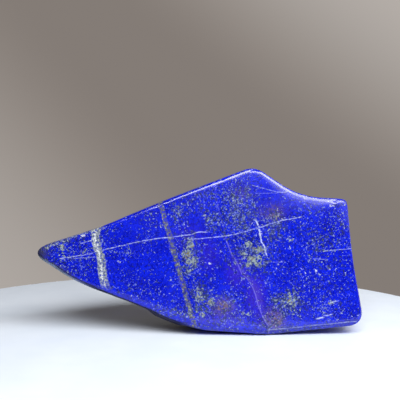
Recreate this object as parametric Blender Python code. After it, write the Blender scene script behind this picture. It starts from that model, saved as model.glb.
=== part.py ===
"""A polished lapis lazuli freeform: one stone, cut as a pointed slab and rounded by hand.

Metres, +Z up. The broad polished face looks along -Y and the pointed end is at -X. The origin
is the middle of the stone's box, on the surface where its small flat spot rests.
"""

import bmesh
import bpy
import numpy as np

MM = 0.001

# The stone's colour and polish
LAZURITE_BLUE = (0.012, 0.020, 0.62, 1.0)
POLISHED_ROUGHNESS = 0.18

# How thick the slab is from the broad face to the back at its middle, in millimetres
THICKNESS = 34.0

# The corners of the broad face's outline, clockwise from the pointed end, in millimetres:
# place along the length, height above the table, and length of the corner's rounding.
OUTLINE = {
    "pointed_end": (-71.9, 33.9, 11.0),
    "upper_slope_low": (-41.4, 43.6, 8.0),
    "upper_slope_high": (-16.4, 54.2, 12.0),
    "peak": (22.1, 68.8, 4.6),
    "notch": (40.3, 56.5, 9.5),
    "shoulder": (60.2, 55.2, 2.6),
    "right_edge": (61.9, 30.3, 10.0),
    "heel": (66.7, 4.3, 7.2),
    "base_middle": (25.8, 0.3, 7.0),
    "base_left": (-1.0, 2.9, 6.0),
    "under_slope": (-11.5, 6.4, 5.5),
    "under_dip": (-27.2, 13.2, 5.0),
    "under_tip": (-47.7, 20.4, 7.0),
}

# No rounding takes more than this share of a side
LONGEST_ROUNDING = 0.46

# How the edges are ground at each of those corners, in millimetres: how far the rounding
# reaches over the front face and round the side, the same at the back, how far the side
# bulges half way through, and how much smaller the back outline is.
EDGES = {
    "pointed_end": (2.6, 3.6, 3.0, 3.5, 0.4, 0.6),
    "upper_slope_low": (1.3, 1.8, 3.5, 3.0, 0.3, 2.0),
    "upper_slope_high": (1.6, 2.0, 4.0, 3.5, 0.5, 4.5),
    "peak": (2.2, 1.1, 3.5, 3.5, 0.5, 4.5),
    "notch": (5.5, 1.3, 3.0, 3.5, 0.0, 3.5),
    "shoulder": (3.4, 1.4, 3.0, 3.5, 0.3, 3.0),
    "right_edge": (1.3, 1.8, 3.5, 3.5, 0.8, 3.0),
    "heel": (2.6, 3.4, 3.5, 3.5, 1.0, 2.5),
    "base_middle": (2.6, 3.6, 3.0, 4.0, 1.7, 1.0),
    "base_left": (4.2, 1.3, 3.5, 4.5, 4.7, 1.2),
    "under_slope": (4.2, 1.3, 4.0, 5.0, 5.8, 1.5),
    "under_dip": (3.6, 1.4, 4.0, 5.0, 3.0, 2.0),
    "under_tip": (2.4, 1.8, 3.5, 4.0, 2.2, 1.5),
}

# The faces grow from this point, which sees the whole outline (mm)
HEART = np.array([14.0, 32.0])

# The ground planes of the back, each as its depth at the heart and its slopes along X and Z
BACK_PLANES = (
    (15.6, 0.02, -0.10),
    (31.0, 0.46, 0.04),
    (19.5, -0.24, -0.20),
    (25.0, 0.10, 0.36),
)
PLANE_BLEND = 2.0

# The front face is one plane that leans back by 6 degrees and bulges less than a millimetre
FRONT_LEAN = 0.10
FRONT_BULGE = 0.5
FACE_REACH = np.array([66.0, 34.0])

# Mesh fineness
OUTLINE_POINTS = 124
FRONT_RINGS = 4
BACK_RINGS = 9
EDGE_STEPS = 6
SIDE_STEPS = 5
TURN_WEIGHT = 8.0
SMOOTHING = 0.9


def corner_points(steps=24):
    """Each corner's place and rounding, and the dense rounded outline with its edge sizes."""
    table = np.array([OUTLINE[name] for name in OUTLINE])
    corners = table[:, :2]
    before = np.roll(corners, 1, axis=0) - corners
    after = np.roll(corners, -1, axis=0) - corners
    far_before = np.linalg.norm(before, axis=1)
    far_after = np.linalg.norm(after, axis=1)
    cuts = np.minimum(table[:, 2], LONGEST_ROUNDING * np.minimum(far_before, far_after))
    start = corners + before * (cuts / far_before)[:, None]
    end = corners + after * (cuts / far_after)[:, None]
    t = np.linspace(0.0, 1.0, steps)[:, None]
    points, place = [], []
    for i in range(len(corners)):
        arc = (1 - t) ** 2 * start[i] + 2 * t * (1 - t) * corners[i] + t**2 * end[i]
        points.append(arc)
        place.append(i + 0.3 * (t[:, 0] - 0.5))
    return np.concatenate(points), np.concatenate(place)


def evenly(points, place, count):
    """The closed outline at count points, closer together where it turns."""
    closed = np.vstack((points, points[:1]))
    step = np.diff(closed, axis=0)
    length = np.linalg.norm(step, axis=1)
    heading = np.unwrap(np.arctan2(step[:, 1], step[:, 0]))
    turn = np.abs(np.diff(np.append(heading, heading[0] - 2 * np.pi)))
    weight = length + TURN_WEIGHT * 0.5 * (turn + np.roll(turn, 1))
    reach = np.concatenate(([0.0], np.cumsum(weight)))
    wanted = np.linspace(0.0, reach[-1], count, endpoint=False)
    places = np.append(place, len(OUTLINE) + place[0])
    x = np.interp(wanted, reach, closed[:, 0])
    z = np.interp(wanted, reach, closed[:, 1])
    return np.column_stack((x, z)), np.interp(wanted, reach, places)


def smoothed(points, width):
    """The closed outline with each point averaged over its neighbours within about width."""
    step = np.linalg.norm(np.roll(points, -1, axis=0) - points, axis=1).mean()
    reach = max(1, int(3 * width / step))
    shifts = np.arange(-reach, reach + 1)
    weights = np.exp(-0.5 * (shifts * step / width) ** 2)
    moved = np.array([np.roll(points, s, axis=0) for s in shifts])
    return np.tensordot(weights / weights.sum(), moved, axes=1)


def outline(count):
    """The outline at count points, and at each point the six edge sizes."""
    dense, place = corner_points()
    dense, place = evenly(dense, place, 1600)
    points, place = evenly(smoothed(dense, SMOOTHING), place, count)
    sizes = np.array([EDGES[name] for name in OUTLINE])
    low = np.floor(place).astype(int)
    share = place - low
    share = (share * share * (3 - 2 * share))[:, None]
    low = low % len(sizes)
    return points, sizes[low] * (1 - share) + sizes[(low + 1) % len(sizes)] * share


def heights_above_heart(points):
    """How far each tangent line of the outline passes from the heart."""
    along = np.roll(points, -1, axis=0) - np.roll(points, 1, axis=0)
    along /= np.linalg.norm(along, axis=1)[:, None]
    arm = points - HEART
    return np.abs(arm[:, 0] * along[:, 1] - arm[:, 1] * along[:, 0])


def front_depth(points):
    """How deep the front face lies at these places."""
    away = (points - HEART) / FACE_REACH
    bulge = FRONT_BULGE * np.minimum(1.0, 0.5 * (away**2).sum(axis=-1))
    return -0.5 * THICKNESS + FRONT_LEAN * (points[..., 1] - HEART[1]) + bulge


def back_depth(points):
    """How deep the back lies: the nearest of its ground planes, blended where they meet."""
    x, z = points[..., 0] - HEART[0], points[..., 1] - HEART[1]
    planes = [depth + along_x * x + along_z * z for depth, along_x, along_z in BACK_PLANES]
    return -PLANE_BLEND * np.log(sum(np.exp(-p / PLANE_BLEND) for p in planes))


def rounded(before, corner, after, steps):
    """Points on the smooth curve that leaves one side of a corner and joins the other."""
    t = np.linspace(0.0, 1.0, steps + 1)[:, None, None]
    return (1 - t) ** 2 * before + 2 * t * (1 - t) * corner + t**2 * after


def stone_rings(count, front_rings, back_rings, edge_steps, side_steps):
    """Closed rings of points from the middle of the front face round to that of the back."""
    points, sizes = outline(count)
    height = heights_above_heart(points)
    arm = points - HEART

    def at(share, depth_of):
        """Ring points at a share of the way out from the heart, on a face."""
        flat = HEART + share[:, None] * arm
        return np.column_stack((flat[:, 0], depth_of(flat), flat[:, 1]))

    front_in, front_round, back_in, back_round, bulge, smaller = sizes.T
    one = np.ones(count)
    front_rim = 1 - front_in / height
    back_edge = 1 - smaller / height
    back_rim = back_edge - back_in / height

    front_corner = at(one, front_depth)
    back_corner = at(back_edge, back_depth)
    middle = at(1 + bulge / height, front_depth)
    middle[:, 1] = 0.5 * (front_corner[:, 1] + back_corner[:, 1])

    def toward(start, end, distance):
        """The point that lies distance from start on the way to end, or half way at most."""
        way = end - start
        share = np.minimum(distance / np.linalg.norm(way, axis=1), 0.48)
        return start + way * share[:, None]

    front_side = toward(front_corner, middle, front_round)
    back_side = toward(back_corner, middle, back_round)
    half_front = 0.46 * front_corner + 0.54 * middle
    half_back = 0.46 * back_corner + 0.54 * middle
    front_shares = np.linspace(0, 1, front_rings + 1)[1:-1]
    back_shares = np.linspace(1, 0, back_rings + 1)[1:-1]
    front_face = [at(share * front_rim, front_depth) for share in front_shares]
    back_face = [at(share * back_rim, back_depth) for share in back_shares]
    front = rounded(at(front_rim, front_depth), front_corner, front_side, edge_steps)
    side = rounded(half_front, middle, half_back, side_steps)
    back = rounded(back_side, back_corner, at(back_rim, back_depth), edge_steps)
    return [*front_face, *front, *side, *back, *back_face]


def stone_mesh(name):
    """The closed stone, cut level where it rests."""
    shape = bmesh.new()
    rings = stone_rings(OUTLINE_POINTS, FRONT_RINGS, BACK_RINGS, EDGE_STEPS, SIDE_STEPS)
    loops = [[shape.verts.new(p * MM) for p in ring] for ring in rings]
    for first, second in zip(loops, loops[1:]):
        for i in range(OUTLINE_POINTS):
            j = (i + 1) % OUTLINE_POINTS
            shape.faces.new((first[i], first[j], second[j], second[i]))
    for loop, depth_of in ((loops[0], front_depth), (loops[-1], back_depth)):
        centre = shape.verts.new(np.array([HEART[0], depth_of(HEART), HEART[1]]) * MM)
        for i in range(OUTLINE_POINTS):
            shape.faces.new((loop[i], loop[(i + 1) % OUTLINE_POINTS], centre))
    cut = bmesh.ops.bisect_plane(
        shape,
        geom=[*shape.verts, *shape.edges, *shape.faces],
        plane_co=(0, 0, 0),
        plane_no=(0, 0, -1),
        clear_outer=True,
    )
    rim = [e for e in cut["geom_cut"] if isinstance(e, bmesh.types.BMEdge)]
    bmesh.ops.contextual_create(shape, geom=rim)
    bmesh.ops.recalc_face_normals(shape, faces=shape.faces)
    mesh = bpy.data.meshes.new(name)
    shape.to_mesh(mesh)
    shape.free()
    return mesh


def stand_on_origin(mesh):
    """Moves the mesh so that the middle of its box is over the origin."""
    points = np.array([v.co for v in mesh.vertices])
    middle = 0.5 * (points.min(axis=0) + points.max(axis=0))
    for vertex in mesh.vertices:
        vertex.co.x -= middle[0]
        vertex.co.y -= middle[1]


def lapis_material():
    """Deep blue lazurite with a soft polish."""
    material = bpy.data.materials.new("polished_lapis")
    material.use_nodes = True
    surface = material.node_tree.nodes["Principled BSDF"]
    surface.inputs["Base Color"].default_value = LAZURITE_BLUE
    surface.inputs["Roughness"].default_value = POLISHED_ROUGHNESS
    surface.inputs["Metallic"].default_value = 0.0
    return material


def main():
    for old in list(bpy.data.objects):
        bpy.data.objects.remove(old)
    mesh = stone_mesh("lapis_lazuli")
    stand_on_origin(mesh)
    mesh.shade_smooth()
    mesh.set_sharp_from_angle(angle=np.radians(32))
    mesh.materials.append(lapis_material())
    stone = bpy.data.objects.new("lapis_lazuli", mesh)
    bpy.context.scene.collection.objects.link(stone)


main()
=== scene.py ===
"""The looks of a polished lapis lazuli freeform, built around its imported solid.

The scene is in metres, in the solid's own frame: the broad polished face looks along -Y, the
pointed end is at -X and +Z is up. The tables below are in millimetres. The stone is made again
as a fine mesh from the same outline and edge sizes as the solid, and the solid is replaced by it.
"""

import math

import bmesh
import bpy
import numpy as np
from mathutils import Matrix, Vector, noise
from mathutils.geometry import delaunay_2d_cdt

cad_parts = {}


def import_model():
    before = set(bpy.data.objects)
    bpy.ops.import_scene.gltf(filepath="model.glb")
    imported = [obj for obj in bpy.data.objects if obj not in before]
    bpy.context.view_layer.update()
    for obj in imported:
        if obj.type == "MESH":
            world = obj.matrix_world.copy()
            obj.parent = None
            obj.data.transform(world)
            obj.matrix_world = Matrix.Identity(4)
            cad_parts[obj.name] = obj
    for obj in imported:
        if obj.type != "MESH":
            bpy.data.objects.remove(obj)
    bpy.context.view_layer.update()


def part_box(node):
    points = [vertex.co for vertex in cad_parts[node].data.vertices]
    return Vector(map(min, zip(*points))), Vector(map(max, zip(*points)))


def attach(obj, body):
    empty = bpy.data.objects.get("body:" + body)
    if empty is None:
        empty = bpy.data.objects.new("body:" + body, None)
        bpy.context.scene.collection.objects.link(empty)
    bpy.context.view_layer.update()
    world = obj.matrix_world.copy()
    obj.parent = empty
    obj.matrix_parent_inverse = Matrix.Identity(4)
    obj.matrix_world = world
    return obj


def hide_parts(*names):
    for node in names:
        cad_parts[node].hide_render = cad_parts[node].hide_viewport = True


MM = 0.001
NODE = "lapis_lazuli"

# The stone's shape, as in the solid

THICKNESS = 34.0

# The corners of the broad face's outline, clockwise from the pointed end, in millimetres:
# place along the length, height above the table, and length of the corner's rounding. Then how
# the edges are ground there: how far the rounding reaches over the front face and round the
# side, the same at the back, how far the side bulges half way through, and how much smaller
# the back outline is.
CORNERS = {
    "pointed_end": (-71.9, 33.9, 11, 2.6, 3.6, 3, 3.5, 0.4, 0.6),
    "upper_slope_low": (-41.4, 43.6, 8, 1.3, 1.8, 3.5, 3, 0.3, 2),
    "upper_slope_high": (-16.4, 54.2, 12, 1.6, 2, 4, 3.5, 0.5, 4.5),
    "peak": (22.1, 68.8, 4.6, 2.2, 1.1, 3.5, 3.5, 0.5, 4.5),
    "notch": (40.3, 56.5, 9.5, 5.5, 1.3, 3, 3.5, 0, 3.5),
    "shoulder": (60.2, 55.2, 2.6, 3.4, 1.4, 3, 3.5, 0.3, 3),
    "right_edge": (61.9, 30.3, 10, 1.3, 1.8, 3.5, 3.5, 0.8, 3),
    "heel": (66.7, 4.3, 7.2, 2.6, 3.4, 3.5, 3.5, 1, 2.5),
    "base_middle": (25.8, 0.3, 7, 2.6, 3.6, 3, 4, 1.7, 1),
    "base_left": (-1, 2.9, 6, 4.2, 1.3, 3.5, 4.5, 4.7, 1.2),
    "under_slope": (-11.5, 6.4, 5.5, 4.2, 1.3, 4, 5, 5.8, 1.5),
    "under_dip": (-27.2, 13.2, 5, 3.6, 1.4, 4, 5, 3, 2),
    "under_tip": (-47.7, 20.4, 7, 2.4, 1.8, 3.5, 4, 2.2, 1.5),
}

# No rounding takes more than this share of a side, and a corner's own edge sizes hold for
# this share of the way to the next corner
LONGEST_ROUNDING = 0.46
CORNER_SHARE = 0.3

# An edge's rounding takes at most this share of the way to the side's middle, and the side's
# own curve starts at this share of it
LONGEST_EDGE = 0.48
SIDE_START = 0.54

# The faces grow from this point, which sees the whole outline
HEART = np.array([14.0, 32.0])

# The ground planes of the back, each as its depth at the heart and its slopes along X and Z
BACK_PLANES = (
    (15.6, 0.02, -0.10),
    (31.0, 0.46, 0.04),
    (19.5, -0.24, -0.20),
    (25.0, 0.10, 0.36),
)
PLANE_BLEND = 2.0

# The front face is one plane that leans back a little and bulges less than a millimetre
FRONT_LEAN = 0.10
FRONT_BULGE = 0.5
FACE_REACH = np.array([66.0, 34.0])

# Mesh fineness: points on a corner, on the outline before and after it is smoothed, over an
# edge and over a side. Points lie closer together where the outline turns.
CORNER_POINTS = 24
DENSE_OUTLINE = 1600
OUTLINE_POINTS = 560
EDGE_STEPS = 10
SIDE_STEPS = 16
TURN_WEIGHT = 8.0
# The width the outline is smoothed over and the spacing of the faces' points, in millimetres,
# and how near to the rim such a point may lie, as a share of the spacing
SMOOTHING = 0.9
FRONT_GRID = 0.55
BACK_GRID = 0.8
RIM_GAP = 0.6

# The camera, in metres, how far it looks down, in degrees, and its lens and sensor
CAMERA_PLACE = (0.00015, -0.2402, 0.060)
CAMERA_DOWN = 1.3
LENS = 50.0
SENSOR = 36.0

# The foot of the broad face along Y, once the stone is centred. The places on that face are
# given below as they show from the camera on an upright sheet that stands at this foot.
FACE_FOOT = -18.2

# The veins are sheets that run right through the stone: whether one is steep, how far it
# drifts across itself for each millimetre of depth, and its route on the broad face. A steep
# vein's route gives X at heights, a level vein's gives heights at X.
VEINS = {
    "calcite_band": (True, 0.22, (
        (18.6, -36.6), (21, -38), (24, -38.8), (29, -39.3), (33, -40.1),
        (36.5, -41.2), (40.5, -41.9), (44, -41.2),
    )),
    "tan_band": (True, -0.18, (
        (5.8, -2.4), (10, -3.9), (19, -6.3), (24.7, -8), (29, -9.1),
        (34, -10.6), (40.5, -12), (44.6, -13.5), (48, -14.2), (53.2, -15.8),
    )),
    "bright_stub": (True, 0.1, (
        (32.4, 26.8), (34, 26.3), (36.2, 25.9), (38.1, 24.7), (40.4, 24.1),
        (43.2, 23.6), (45.5, 23), (47.3, 21.8),
    )),
    "violet_seam": (True, -0.1, (
        (3.5, 27.8), (7.6, 25.5), (11.4, 23.8), (18.6, 21.6), (23, 19.2),
        (25.5, 16.8), (29.4, 15), (33, 12.8), (36, 11.6), (39.4, 10.4),
        (45, 9.2), (51, 7.6), (59, 6),
    )),
    "long_left": (False, 0.12, (
        (-39.4, 34.9), (-33, 36.5), (-26.2, 37.9), (-18.5, 39.3), (-9.6, 40.4),
        (-3.4, 41.3), (0, 42.2), (3, 42.1),
    )),
    "long_right": (False, 0.12, (
        (-4.5, 39.3), (4.2, 40), (12.8, 41.1), (19.4, 42.8), (25.5, 44.7),
        (33.2, 46.9), (41.5, 48.3),
    )),
}

# Surface relief, all of it inwards. The waves of the polish have a length in millimetres, a
# shift that sets them apart, and a depth in millimetres.
POLISH_WAVES = ((19.0, (3.1, 0.0, 0.0), 0.16), (5.5, (0.0, 7.7, 0.0), 0.035))
WAVE_SWING = 0.55
# The sunk veins: half width, depth, and the share of the width that is level at the bottom
SUNK_VEINS = (("calcite_band", 1.9, 0.07), ("tan_band", 1.0, 0.04), ("violet_seam", 0.35, 0.09))
SUNK_LEVEL = 0.4
# The chips along the edges: their length, shift, the noise they start and are full at, and
# their depth. An edge starts and ends where the surface faces the front by these amounts.
CHIPS = (2.6, (0.0, 0.0, 5.5), (0.62, 0.95), 0.35)
EDGE_STARTS = (0.25, 0.6)
EDGE_ENDS = (0.9, 0.99)
# Relief fades out towards the table up to this height
STANDING = 0.6

# The ground bevel under the broad face's right half: a point on it, its tilt down from
# facing the viewer, its rise along X, its span along X with the length it fades in over,
# and how far it stands off beyond its ends
BEVEL = {
    "place": (28.0, -18.12, 2.95),
    "tilt": math.radians(33),
    "rise": 0.082,
    "span": (24.0, 68.0, 5.0),
    "keep": 1.5,
}

# Where the stone differs, as soft blobs on the broad face: X, Z, their reach along X and Z in
# millimetres, and strength. Each goes into the stone about as deep as it is wide. Speckle, cream
# and white are pale grains, murk has more dull ones and pure fewer of all; near the point the
# colouring by facing also adds pale grains on the upward faces as painted light from above. Worn
# is rubbed. Dark is a dark patch at the pointed end, to which the colouring by facing adds painted
# shade under the left half. Matte is the less polished underside, and the pale painted reflection
# of the table at the point's lower edge comes only from the colouring by facing.
ZONES = {
    "speckle": (
        (15.2, 50.6, 8, 12, 1), (-8.2, 50.2, 3.5, 5, 0.8), (5.2, 47, 3.2, 3.8, 1),
        (30, 43.4, 4.8, 5.8, 0.9), (48.4, 38.6, 5.5, 4.8, 0.75), (12, 11.8, 4.5, 7, 0.6),
        (20.8, 33, 8, 8.5, 0.8), (-4, 32.6, 4.8, 9, 0.8), (1.2, 15, 6, 8.5, 0.65),
        (35.2, 13.8, 7.2, 6, 0.75), (50.4, 11, 6, 5, 0.6), (-53, 33, 11, 8, 0.5),
        (-20, 20, 14, 7, 0.15), (-38, 41, 6, 3, 0.5), (55, 46, 5, 6, 0.4),
        (45, 24, 14, 6, 0.35), (-22, 44, 4, 6, 0.35), (2, 56, 7, 4, 0.6),
        (-14, 11, 9, 3, 0.4), (28, 5, 6, 4, 0.6), (-30, 34.5, 4, 3, 0.3),
        (36, 1.6, 9, 1.6, 0.6), (52, 3.2, 10, 1.6, 0.5), (46, 36, 16, 24, 0.3),
        (10, 5, 7, 4, 0.4), (-13, 10.5, 10, 2.5, 0.5),
    ),
    "cream": (
        (19.1, 36.9, 1.5, 1.3, 1), (23.4, 35, 2.6, 1.4, 1), (17.4, 33.6, 1.3, 0.9, 0.9),
        (21.2, 31.5, 3.4, 1.3, 1), (19.3, 29.2, 1.1, 0.9, 0.9), (23.1, 29.2, 1.6, 1.3, 1),
        (-3.8, 37.2, 1.5, 1.6, 1), (-5.2, 33.4, 2.2, 1.6, 1), (-3.4, 30.6, 2.2, 1.9, 0.9),
        (-4.5, 26.9, 1.2, 1, 0.9), (-0.4, 16.3, 1.9, 2.7, 0.8), (4.4, 14.1, 1.3, 1.6, 0.9),
        (1, 9.6, 1.2, 1.2, 0.8), (30.6, 15, 1, 0.9, 0.7), (36.4, 14.2, 3, 3.2, 0.55),
        (18.6, 9.4, 1.9, 1.7, 0.6), (52.6, 13.8, 1.2, 0.7, 0.9), (49.3, 11.9, 1.3, 1.5, 0.5),
        (-55.2, 36.4, 1.6, 1.4, 0.9), (-54.2, 32.9, 1.2, 0.9, 0.6), (-46.6, 34.4, 1.4, 0.7, 0.8),
        (-29, 34, 1.3, 1.2, 0.5), (30, 48, 1.2, 1.2, 0.5), (36.3, 39, 1.1, 0.8, 0.8),
        (-9, 50.5, 1.8, 1.8, 0.5), (-17, 13, 1, 0.8, 0.4), (-4.5, 8.6, 1.6, 1, 0.5),
        (12.8, 55.5, 1.2, 1.2, 0.5), (3, 47.5, 1.2, 1.6, 0.5),
    ),
    "white": (
        (-46.8, 40.8, 1.1, 0.55, 1), (-32.3, 30.2, 0.8, 0.5, 0.9), (2.2, 42.3, 0.5, 0.5, 0.8),
        (8.3, 34.4, 0.5, 0.5, 0.7), (3.6, 29.4, 0.55, 0.5, 1), (40.8, 27.5, 0.6, 0.7, 0.8),
        (46.4, 26.6, 0.5, 1.1, 0.65), (52, 27.2, 0.5, 0.6, 0.8), (24, 41.6, 0.7, 1.3, 0.8),
        (52.8, 52.6, 0.9, 0.7, 0.8), (35.8, 41.8, 0.5, 0.5, 0.6), (17.6, 25.4, 0.5, 0.5, 0.6),
    ),
    "pure": (
        (-28, 45, 9, 5, 1), (-15, 28, 6, 8, 0.5), (37, 37, 6, 7, 0.3),
        (10, 24, 6, 6, 0.7), (35, 24, 6, 5, 0.25), (30, 54, 6, 3.5, 0.7),
        (-1, 46, 3.5, 2.5, 0.6), (56, 32, 3, 6, 0.3), (42, 8, 5, 3, 0.6),
        (26, 60, 4, 4, 0.6), (-12, 19, 3, 7, 0.5),
    ),
    "pink": ((28.8, 50.2, 5, 3, 0.9), (29.6, 8.2, 3.4, 3.6, 1), (16, 57.5, 4, 2.5, 0.5)),
    "rust": ((9.2, 12.2, 3.6, 2.8, 1), (30.5, 6.5, 2.8, 3, 0.9), (30.2, 48.6, 2, 1.2, 0.6)),
    "violet": (
        (8.8, 8.2, 8, 4.5, 0.45), (14.8, 26.2, 4, 5.5, 0.75), (3, 33, 5, 6, 0.4),
        (22.5, 17, 3.4, 7, 0.85), (27, 8, 5, 4, 0.5), (-4, 40, 6, 6, 0.3),
        (24, 10, 3, 5, 0.5),
    ),
    # A dark patch at the pointed end; painted shade under the left half is added to it by facing, and the
    # painted reflection of the table comes only by facing
    "dark": ((-65.5, 33.5, 4.5, 3.5, 1), (-58, 26.5, 5, 2, 0.5)),
    "matte": (),
    "painted_table_reflection": (),
    "worn": ((42, 55, 13, 3.8, 0.8), (59, 51, 4, 7, 0.9)),
    "murk": (
        (1, 13, 6, 9, 1), (36, 12.5, 8, 6, 1), (12, 7, 6, 4, 0.7),
        (29, 7, 5, 5, 0.7), (20, 33, 8, 8, 0.7), (-5, 32, 4.5, 9, 0.6),
        (14, 51, 8, 11, 0.4), (29, 42, 5, 6, 0.5), (4, 47, 4, 4, 0.6),
        (48.4, 38.6, 5.5, 5, 0.5), (-11, 10, 9, 2.5, 0.7), (29, 50, 5, 3, 0.5),
        (48, 2.5, 16, 2, 0.7),
    ),
}
# How deep a blob reaches into the stone, as a share of its width, and the least in millimetres
ZONE_DEPTH = (0.7, 2.0)
# How fast a blob fades from its middle, and how sharply it ends
BLOB_FADE = (0.7, 1.3)

# Blobs strewn through the rest of the stone: how many, and their least and greatest reach.
STREWN = {
    "speckle": (30, 3.5, 10),
    "murk": (20, 3.5, 9),
    "worn": (8, 5, 12),
    "cream": (70, 0.8, 2.6),
    "pure": (14, 5, 10),
    "pink": (6, 2, 4),
    "rust": (5, 1.5, 3),
    "violet": (10, 3, 7),
}
STREWN_SEED = 23
# How deep behind the broad face they start, and where the back is
STREWN_DEPTHS = (8.0, 17.0)
# The least and greatest X, share of the depth and Z of a blob's middle, how much longer or
# shorter it is along each axis, and its strength
STREWN_PLACES = ((-66, 0, 0), (66, 1, 68))
STREWN_STRETCH = (0.6, 1.2)
STREWN_STRENGTH = (0.6, 1.0)

# Light and shade painted by which way a surface near the pointed end faces: painted shade on the faces
# that look down under the left half and the point, a pale painted reflection of the table at the point's
# lower edge, and pale grains as painted light from above on the faces that look up. For each: how far left
# it starts and is full, which way it faces, and how much it has to face that way
DOWN, UP = -1, 1
PAINTED_BY_FACING = {
    # Painted shade where the surface faces down
    "underside": ((-2, 10), DOWN, (0.26, 0.48)),
    "under_point": ((38, 44), DOWN, (0.05, 0.25)),
    # A pale painted reflection of the table on the lower edge near the point
    "painted_table_reflection": ((40, 54), DOWN, (0.24, 0.56)),
    # Painted light from above, as pale grains where the surface faces up
    "pale": ((38, 44), UP, (0.2, 0.6)),
}
# What of the painted light on the upward faces goes to each kind of pale grain
PAINTED_TOP_LIGHT = {"cream": 0.4, "white": 0.35, "speckle": 1.0}
# The underside is less polished all along, from where it faces down this much
MATTE_FACING = (-0.09, 0.03)

# How much light falls on the broad face, where a white floor of brightness 1 gets 1
FACE_LIGHT = 1.55


def paint(red, green, blue, light=FACE_LIGHT):
    """The surface that shows this colour, given from 0 to 255, in this much light."""
    shown = np.array([red, green, blue]) / 255
    linear = np.where(shown <= 0.04045, shown / 12.92, ((shown + 0.055) / 1.055) ** 2.4)
    return (*(linear / light).tolist(), 1.0)


# Colours as they show in the photograph, red, green and blue from 0 to 255
BLUES = {
    "mid": paint(2, 24, 216),
    "bright": paint(10, 36, 238),
    "deep": paint(0, 8, 138),
    "violet": paint(74, 44, 196),
    "haze": paint(80, 58, 196),
    "pink": paint(96, 80, 136),
    "rust": paint(128, 108, 102),
}
GRAINS = {
    "slate": paint(17, 27, 112),
    "olive": paint(48, 62, 92),
    "sky": paint(136, 158, 228),
    "cream": paint(168, 184, 180),
    "moss": paint(98, 112, 108),
    "tan": paint(90, 93, 86),
    "bone": paint(196, 202, 204),
    "gold": paint(196, 172, 112),
    "white": paint(240, 245, 252),
    "thread": paint(204, 214, 250),
    "lilac": paint(128, 118, 232),
    # The dark of the patch at the point and of the painted shade under the left half
    "dark": paint(18, 18, 26),
    # The pale painted reflection of the table on the lower edge near the point
    "painted_table_reflection": paint(150, 168, 182),
}

# Noises: the shift that sets each apart and the length of its blotches, both in millimetres,
# its octaves and their roughness
NOISES = {
    "clouds": ((0, 0, 0), 8, 3, 0.55),
    "deep": ((40, 0, 0), 1.15, 4, 0.9),
    "mottle": ((0, 9, 0), 1, 3, 0.8),
    "patches": ((0, 0, 70), 4.2, 2, 0.55),
    "dull": ((13, 0, 0), 1.25, 3, 0.75),
    "tone": ((0, 21, 0), 2.4, 2, 0.55),
    "pale": ((0, 43, 0), 0.8, 3, 0.85),
    "cluster": ((0, 0, 17), 0.9, 3, 0.65),
    "cluster_tone": ((0, 51, 0), 0.8, 2, 0.6),
    "calcite": ((0, 0, 33), 0.75, 3, 0.75),
    "wander": ((0, 0, 0), 7, 1, 0.55),
    "tan": ((61, 0, 0), 0.95, 3, 0.7),
    "broken": ((0, 77, 0), 1.4, 4, 0.85),
    "smear": ((0, 0, 90), 14, 3, 0.55),
    "pits": ((0, 0, 0), 0.55, 2, 0.55),
    "dimples": ((0, 0, 0), 1.6, 2, 0.55),
    "table_top": ((0, 0, 0), 30, 3, 0.55),
}
# How grains and veins are bent, in one or more pushes: the length and the reach of each
WARPS = {
    "flecks": ((1.2, 0.8), (0.35, 0.35)),
    "clusters": ((1.3, 1.2),),
    "calcite": ((4.5, 0.9), (0.7, 0.9)),
    "tan": ((5, 1.2), (0.9, 0.8)),
    "threads": ((6, 0.8), (0.9, 0.5)),
    "ragged_threads": ((0.8, 0.9),),
    "seam": ((2, 0.35),),
}
# Where each smooth change starts and ends: values of noise, of light or of direction, or
# millimetres for heights, distances and depths
STEPS = {
    "clouds": (0.36, 0.66),
    "deep": (0.49, 0.58),
    "mottle": (0.42, 0.56),
    "dull": (0.60, 0.65),
    "olive": (0.46, 0.66),
    "pale": (0.665, 0.705),
    "cream": (0.5, 0.76),
    "cluster": (0.58, 0.74),
    "cluster_tone": (0.36, 0.62),
    "white": (0.5, 0.9),
    "calcite_top": (39, 45),
    "calcite_foot": (21.5, 17.5),
    "calcite_end": (18, 23),
    "calcite": (0.36, 0.47),
    "bone": (0.42, 0.62),
    "calcite_thread": (0.42, 0.54),
    "tan": (0.45, 0.51),
    "tan_tone": (0.54, 0.66),
    "broken": (0.38, 0.60),
    "stroke_depth": (9, 6),
    "lower_seam": (41, 37),
    "haze_start": (-0.1, 0.15),
    "haze_end": (3.2, 0.9),
    "smear": (0.3, 0.7),
    "table_top": (0.3, 0.7),
    "lower_left": (0, 0.55),
    "upper_right": (0.2, 0.62),
    "overhead": (0.37, 0.6),
    "behind_viewer": (0.25, -0.25),
    "wall_tint": (0.15, 0.4),
}
# How much of what is under it each layer covers
COVER = {
    "deep": 0.9,
    "violet": 0.65,
    "dull": 0.92,
    "pale": 0.85,
    "cluster": 0.9,
    "cluster_gold": 0.8,
    "white": 0.7,
    "calcite": 0.92,
    "other_thread": 0.7,
    "tan": 0.94,
    "tan_gold": 0.4,
    "haze": 0.6,
    # How much the dark patch with its painted shade under the left half covers
    "dark": 0.92,
    # How much the pale painted reflection of the table covers
    "painted_table_reflection": 0.85,
}
# Pink and rust lie in the mottling: how much more they cover there, and how much elsewhere
MOTTLED = (0.75, 0.25)
# How dense the flecks are: what patches and pure places add, and what there is everywhere.
# Then what pure places add to the deep blue, and murk and density to the dull and pale grains.
DENSITY = {
    "patches": 0.9,
    "pure": -0.3,
    "everywhere": 0.07,
    "deep_in_pure": -0.3,
    "dull_in_murk": 0.07,
    "dull": 0.11,
    "pale": 0.09,
}
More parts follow.
